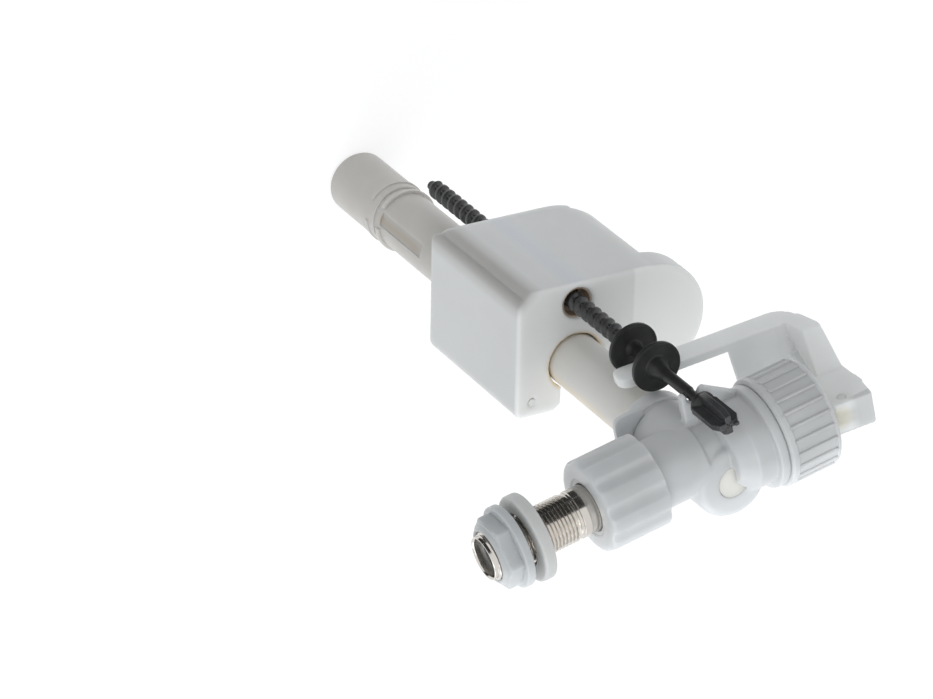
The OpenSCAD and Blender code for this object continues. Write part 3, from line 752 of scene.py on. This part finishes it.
def build_head_ring():
    """Ring with shallow panels between rounded bars."""
    bars = 24
    panel_r, rim_r, mouth_r = 18.62, 19.1, 12.8
    panel_from, panel_to = 3.0, 17.2
    front, inner_face = -0.18, 15.3
    panel_depth, wall_r = 0.22, 17.5
    outline = eased([
        (SPIGOT_R, front, 0.1), (18.3, front, 0.4), (19.05, 0.6, 0.4), (rim_r, 2.2, 0.4),
        (panel_r, panel_from, 0.4), (panel_r, panel_to, 0.2), (rim_r, 17.5, 0.2),
        (18.9, 18.4, 0.3), (18.4, RING_L, 0.4), (mouth_r, RING_L, 0.4),
        (mouth_r, inner_face, 0.3), (SPIGOT_R, inner_face, 0.2)], steps=5)

    def panelled(r, h, angle):
        if r < wall_r or not panel_from - 0.1 < h < panel_to + 0.1:
            return r
        across = (angle / TURN * bars) % 1.0
        return r - panel_depth * (1.0 - (2.0 * across - 1.0) ** 2)

    piece = new_piece("head_ring_body", [turned(outline, 288, shape=panelled)],
                      along_x(RING_X, HEAD_Z))
    settle(piece, "valve", "clear_white", ["head_ring"])
    ribs = run_kit("head_ring_ribs", RIBS, {
        "Count": bars, "Radius": 18.5, "Rib Width": 1.3, "Rib Height": 0.66,
        "Rib Length": 15.2, "Lift": 2.1, "Finish": FINISHES["clear_white"]},
        along_x(RING_X, HEAD_Z))
    settle(ribs, "valve", "clear_white")


def build_body():
    """The valve's body, the cover with its nozzle and the tube's clip."""
    piece = moulded_copy("valve_body", "valve_body_shell", voxel=0.46, passes=4)
    settle(piece, "valve", "clear_white", ["valve_body"])
    cover = moulded_copy("pilot_cover", "pilot_cover_disc", voxel=0.3, passes=4)
    settle(cover, "valve", "cream_plastic", ["pilot_cover"])
    clip = moulded_copy("tube_clip", "tube_clip_plate", voxel=0.2, passes=4)
    settle(clip, "valve", "clear_white", ["tube_clip"])


def build_lever():
    """The lever, rounded at its elbow."""
    level = Matrix.Translation(PIVOT) @ Matrix.Rotation(-LEVER_DROOP, 4, "Y")
    elbow, elbow_r = (2.0, -41.5), 9.5
    lever = moulded_copy("lever", "lever_arm", voxel=0.34, passes=7, place=level,
                         corners=[(SIDE, elbow, (1, -1), elbow_r)])
    settle(lever, "lever", "lever_plastic", ["lever"])


# The float and its spindle

def close_notch_lip(mesh, place):
    """Brings the top of the float's notch in, close round the tube."""
    lip_foot, rise_over = -FLOAT_TOP - 6.2, 4.0
    notch_from, notch_to, fade = 10.9, 14.0, 2.4
    half_mouth, draw_in = 5.9, 1.15
    back = place.inverted()
    for vertex in mesh.vertices:
        p = back @ (vertex.co / MM)
        away = math.hypot(p.x, p.y)
        in_mouth = p.y < 0 and abs(p.x) < half_mouth
        if p.z < lip_foot or in_mouth or not notch_from < away < notch_to:
            continue
        rise = min(1.0, (p.z - lip_foot) / rise_over)
        near = max(0.0, min(1.0, (notch_to - away) / fade))
        pull = draw_in * rise * near / away
        vertex.co = (place @ Vector((p.x * (1 - pull), p.y * (1 - pull), p.z))) * MM


def build_float():
    """The float's shell and the threaded bush in its spindle hole."""
    level = upright(TUBE_X) @ Matrix.Rotation(FLOAT_TURN, 4, "Z")
    foot = -FLOAT_TOP - FLOAT_H
    spindle_side, notched_side, half_mouth = 29.5, -17.5, 5.3
    piece = moulded_copy("float_shell", "float_box", voxel=0.74, passes=4, place=level, corners=[
        (PLAN, (FLOAT_LEFT, spindle_side), (-1, 1), 5.6),
        (SIDE, (FLOAT_RIGHT, foot), (1, -1), 16.0),
        (SIDE, (FLOAT_LEFT, foot), (-1, -1), 1.6),
        (PLAN, (-half_mouth, notched_side), (1, -1), 4.0),
        (PLAN, (half_mouth, notched_side), (-1, -1), 4.0)])
    close_notch_lip(piece.data, level)
    tidy(piece.data)
    settle(piece, "float", "float_plastic", ["float_shell"])
    bore_r, bush_r, bush_l = 3.42, 5.5, 15.1
    outline = eased([(bore_r, 0.0, 0.1), (bush_r, 0.0, 0.2), (bush_r, bush_l, 0.2),
                     (5.15, bush_l, 0.15), (4.9, 14.8, 0.2), (4.75, 11.2, 0.4),
                     (bore_r, 10.6, 0.3)], steps=4)
    bush = new_piece("float_insert_bush", [turned(outline, 96)],
                     upright(SPINDLE_X, SPINDLE_Y, -FLOAT_TOP - 15.9))
    settle(bush, "float", "brown_plastic", ["float_insert"])


def build_spindle():
    """Rope thread, the stem with its two discs and necks, and the finned head."""
    place = upright(SPINDLE_X, SPINDLE_Y)
    foot, thread_foot, thread_l = -178.0, -175.0, 130.5
    thread = run_kit("spindle_thread", THREAD, {
        "Bore Radius": 1.2, "Core Radius": CORE_R, "Crest Radius": 3.28, "Pitch": 4.4,
        "Length": thread_l, "Steepness": 0.78, "Run Out": 1.2, "Web Height": 0.62,
        "Web Angle": math.radians(112), "Rows": 600, "Columns": 73,
        "Finish": FINISHES["black_thread"]}, upright(SPINDLE_X, SPINDLE_Y, thread_foot))
    settle(thread, "spindle", "black_plastic", ["spindle"], FINISHES["black_thread"])
    tip_r, collar_r, neck_r, seat_r, head_r = 1.7, 2.7, 1.75, 4.3, 2.05
    lower, upper, disc_t = -38.0, -23.3, 1.5
    stem = eased([
        (0.0, foot, 0), (1.35, foot, 0.3), (tip_r, foot + 0.5, 0.3), (tip_r, -174.6, 0.2),
        (CORE_R, -174.2, 0.2), (CORE_R, -45.6, 0.2), (collar_r, -44.4, 0.4),
        (collar_r, lower - disc_t - 0.1, 0.6), (DISC_R, lower - disc_t, 0.35),
        (DISC_R, lower, 0.45), (DISC_R - 0.7, lower - 0.05, 0.1),
        (DISC_R - 1.0, lower - 0.25, 0.2), (2.9, lower - 0.2, 0.9), (2.15, -36.5, 0.5),
        (SHAFT_R, upper - disc_t - 0.2, 0.5), (DISC_R, upper - disc_t, 0.35),
        (DISC_R, upper, 0.45), (DISC_R - 0.7, upper, 0.15), (DISC_R - 0.9, upper - 0.15, 0.2),
        (4.1, upper - 0.1, 0.7), (2.4, -19.2, 1.5), (SHAFT_R, -17.8, 1.0),
        (SHAFT_R, -3.7, 0.3), (neck_r, -2.9, 0.2), (neck_r, 2.8, 0.2), (3.0, 3.6, 0.2),
        (seat_r, 4.6, 0.4), (seat_r, 5.8, 0.4), (3.2, 6.6, 0.4), (head_r, 7.2, 0.3),
        (head_r, 20.0, 0.2), (0.0, 20.3, 0)], closed=False, steps=4)
    piece = new_piece("spindle_stem", [turned(stem, 96, closed=False)], place)
    settle(piece, "spindle", "black_plastic", ["spindle"])
    settle(build_fins(place), "spindle", "black_plastic", ["spindle"],
           FINISHES["black_thread"])


def build_fins(place):
    """Four crossed fins with sloped shoulders, and the nib on top."""
    fin_r, foot, top, half_t = 4.8, 4.8, 21.4, 1.1
    side = [(0.2, foot), (fin_r - 0.8, foot), (fin_r, foot + 1.4), (fin_r, top - 2.9),
            (fin_r - 1.6, top), (0.2, top)]
    count = len(side)
    parts = []
    for k in range(4):
        spin = Matrix.Rotation(TURN * k / 4, 4, "Z")
        points = [spin @ Vector((r, s * half_t, h)) for s in (-1, 1) for r, h in side]
        faces = [list(range(count)), list(range(count, 2 * count))[::-1]]
        faces += [[i, (i + 1) % count, count + (i + 1) % count, count + i]
                  for i in range(count)]
        parts.append((points, faces))
    nib = [Vector((x, y, z)) for x in (1.6, 3.2) for y in (-0.6, 0.6)
           for z in (top - 1, top + 1.2)]
    parts.append((nib, [[0, 1, 3, 2], [4, 6, 7, 5], [0, 4, 5, 1], [2, 3, 7, 6], [0, 2, 6, 4],
                        [1, 5, 7, 3]]))
    piece = new_piece("spindle_fins", parts, place)
    bevel = piece.modifiers.new("edge", "BEVEL")
    bevel.width = 0.22 * MM
    bevel.segments = 2
    bevel.limit_method = "ANGLE"
    return piece


# The upper tube and the pieces that keep the CAD's mesh

def build_upper_tube():
    """A pipe with eased ends."""
    bore_r, tube_r = 8.3, 9.6
    foot, top = -126.0, -11.4
    outline = eased([(bore_r, foot, 0.2), (tube_r, foot, 0.2), (tube_r, top, 0.4),
                     (bore_r, top, 0.4)], steps=3)
    piece = new_piece("upper_tube_pipe", [turned(outline, 160)], upright(TUBE_X))
    settle(piece, "valve", "tube_plastic", ["upper_tube"])


def dress_cad_nodes():
    """Nodes that stay as the CAD made them get their finish."""
    slots = {p["node"]: p["material_slot"] for p in frame["record"]["subparts"]}
    for name, node in frame["nodes"].items():
        for entry in node.material_slots:
            entry.material = FINISHES["lever_plastic" if name == "lever_pin" else slots[name]]


build_shank()
build_wall_nut()
build_sealing_washer()
build_coupling_nut()
build_head_ring()
build_body()
build_lever()
build_float()
build_spindle()
build_upper_tube()
dress_cad_nodes()


# Studio

def seen_straight(board):
    """1 for what the camera, a mirror or a clear piece sees, and 0 for soft light."""
    camera, glossy, clear = board.add(
        "ShaderNodeLightPath", out=("Is Camera Ray", "Is Glossy Ray", "Is Transmission Ray"))
    return (camera + glossy + clear).clamp()


def build_floor():
    """A pale floor that is white to the camera and keeps the shadow."""
    reach = 6.0
    level = -0.2331
    mesh = bpy.data.meshes.new("studio_floor")
    corners = [(-reach, -reach), (reach, -reach), (reach, reach), (-reach, reach)]
    mesh.from_pydata([(x, y, level) for x, y in corners], [], [[0, 1, 2, 3]])
    floor = add_object("studio_floor", mesh)
    material = bpy.data.materials.new("studio_paper")
    material.use_nodes = True
    tree = material.node_tree
    tree.nodes.clear()
    board = Board(tree)
    paper = board.add("ShaderNodeBsdfDiffuse", {"Color": colour(0.86, 0.86, 0.86)})
    shade = board.add("ShaderNodeBsdfDiffuse", {"Color": colour(0.34, 0.34, 0.34)})
    glow = board.add("ShaderNodeEmission", {"Color": colour(1, 1, 1), "Strength": 0.74})
    lit = board.add("ShaderNodeAddShader", {0: shade, 1: glow})
    mixed = board.add("ShaderNodeMixShader", {0: seen_straight(board), 1: paper, 2: lit})
    board.add("ShaderNodeOutputMaterial", {"Surface": mixed})
    mesh.materials.append(material)


def build_world(level):
    """Soft light of the given level from all round, on a white background."""
    world = bpy.data.worlds.new("studio_room")
    scene.world = world
    world.use_nodes = True
    tree = world.node_tree
    tree.nodes.clear()
    board = Board(tree)
    room = board.add("ShaderNodeBackground",
                     {"Color": colour(0.97, 0.985, 1.0), "Strength": level})
    white = board.add("ShaderNodeBackground", {"Color": colour(1, 1, 1), "Strength": 1.0})
    mixed = board.add("ShaderNodeMixShader", {0: seen_straight(board), 1: room, 2: white})
    board.add("ShaderNodeOutputWorld", {"Surface": mixed})


def add_lamp(name, direction, level, size, tint):
    """A square lamp that adds level to a white face that looks straight at it."""
    distance = 2.2
    aim = Vector((0.045, 0.0, -0.07))
    data = bpy.data.lights.new(name, "AREA")
    data.shape = "SQUARE"
    data.size = size
    data.energy = level * (math.pi * distance) ** 2
    data.color = tint
    lamp = add_object(name, data)
    toward = Vector(direction).normalized()
    lamp.location = aim + toward * distance
    lamp.rotation_mode = "QUATERNION"
    lamp.rotation_quaternion = toward.to_track_quat("Z", "Y")


def add_card(name, corners):
    """A dark card outside the view, which gives metal and gloss something to show."""
    grey = 0.03
    mesh = bpy.data.meshes.new(name)
    mesh.from_pydata(corners, [], [[0, 1, 2, 3]])
    card = add_object(name, mesh)
    material = bpy.data.materials.new(name + "_cloth")
    material.use_nodes = True
    shader = next(n for n in material.node_tree.nodes if n.type == "BSDF_PRINCIPLED")
    shader.inputs["Base Color"].default_value = colour(grey, grey, grey)
    shader.inputs["Roughness"].default_value = 0.9
    mesh.materials.append(material)
    card.visible_camera = False
    card.visible_diffuse = False
    card.visible_shadow = False


def build_camera():
    """The camera that was solved from the photograph, 933 pixels wide."""
    frame_w, focal_w = 933.0, 4700.0
    right = Vector((0.8567790593, -0.1820971970, 0.4824626974))
    up = Vector((0.4052450934, 0.8163407216, -0.4115388688))
    back = Vector((-0.3189138721, 0.5481135258, 0.7732176311))
    place = (-0.489300, 0.876730, 1.128457)
    data = bpy.data.cameras.new("photo_camera")
    data.sensor_width = 36.0
    data.lens = focal_w / frame_w * data.sensor_width
    data.clip_start, data.clip_end = 0.05, 60.0
    camera = add_object("photo_camera", data)
    turn = Matrix((right, up, back)).transposed().to_4x4()
    camera.matrix_world = Matrix.Translation(place) @ turn
    scene.camera = camera


build_floor()
build_world(0.70)
add_lamp("lamp_front", (-0.45, -0.25, 0.85), 0.24, 1.4, (0.97, 0.985, 1.0))
add_lamp("lamp_below", (-0.40, -0.85, 0.35), 0.22, 1.6, (0.94, 0.975, 1.0))
add_card("side_card", [(-0.7, 0.75, -0.22), (0.9, 0.75, -0.22), (0.9, 0.75, 0.70),
                       (-0.7, 0.75, 0.70)])
add_card("low_card", [(-0.5, 0.10, -0.225), (0.7, 0.10, -0.225), (0.7, 0.74, -0.225),
                      (-0.5, 0.74, -0.225)])
build_camera()
scene.view_settings.view_transform = "Standard"
